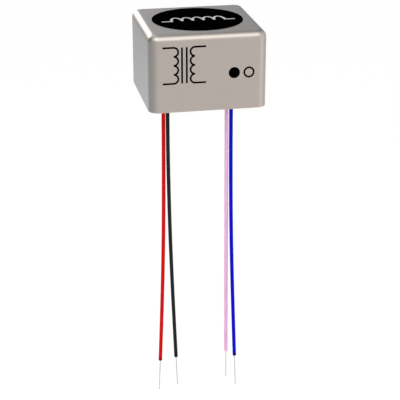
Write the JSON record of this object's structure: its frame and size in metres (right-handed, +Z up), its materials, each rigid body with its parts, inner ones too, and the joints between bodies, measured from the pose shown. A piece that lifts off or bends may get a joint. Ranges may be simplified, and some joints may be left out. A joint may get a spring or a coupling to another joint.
{
  "type": "audio isolation transformer",
  "caption": "Potted audio isolation transformer in a square drawn shield can, with tinned flying leads hanging from its open side.",
  "frame": {"origin": "centre of the can's open rim, in the plane of the rim", "axes": "+Z up through the closed top with its printed disc, -Y out of the printed front face, +X to the right of that face; the leads hang towards -Z"},
  "size_m": [0.038, 0.038, 0.1381],
  "materials": {
    "shield_metal": "satin, annealed nickel-iron sheet",
    "disc_print": "flat black print",
    "potting": "poured, faintly glossy",
    "pad_board": "pressed board",
    "core_metal": "stamped nickel-iron plate",
    "former_moulding": "moulded nylon",
    "enamelled_wire": "enamelled copper",
    "layer_tape": "polyester tape",
    "wrap_tape": "polyester tape",
    "sleeving": "shrunk sleeve",
    "tinned_wire": "tinned copper strands",
    "lead_red": "extruded insulation",
    "lead_black": "extruded insulation",
    "lead_pink": "extruded insulation",
    "lead_blue": "extruded insulation"
  },
  "bodies": {
    "root": {"coil_former": "former_moulding", "coil_wrap_tape": "wrap_tape", "core_plates_gap_front": "core_metal", "core_plates_gap_rear": "core_metal", "inner_layer_tape": "layer_tape", "lead_black_conductor": "tinned_wire", "lead_black_insulation": "lead_black", "lead_blue_conductor": "tinned_wire", "lead_blue_insulation": "lead_blue", "lead_pink_conductor": "tinned_wire", "lead_pink_insulation": "lead_pink", "lead_red_conductor": "tinned_wire", "lead_red_insulation": "lead_red", "outer_layer_tape": "layer_tape", "potting_resin": "potting", "primary_inner_winding": "enamelled_wire", "primary_link_wire": "enamelled_wire", "primary_outer_winding": "enamelled_wire", "secondary_winding": "enamelled_wire", "shield_can": "shield_metal", "solder_joints": "tinned_wire", "splice_sleeve_black": "sleeving", "splice_sleeve_blue": "sleeving", "splice_sleeve_pink": "sleeving", "splice_sleeve_red": "sleeving", "top_disc_label": "disc_print", "top_pad": "pad_board", "winding_tail_black": "enamelled_wire", "winding_tail_blue": "enamelled_wire", "winding_tail_pink": "enamelled_wire", "winding_tail_red": "enamelled_wire"}
  },
  "joints": []
}
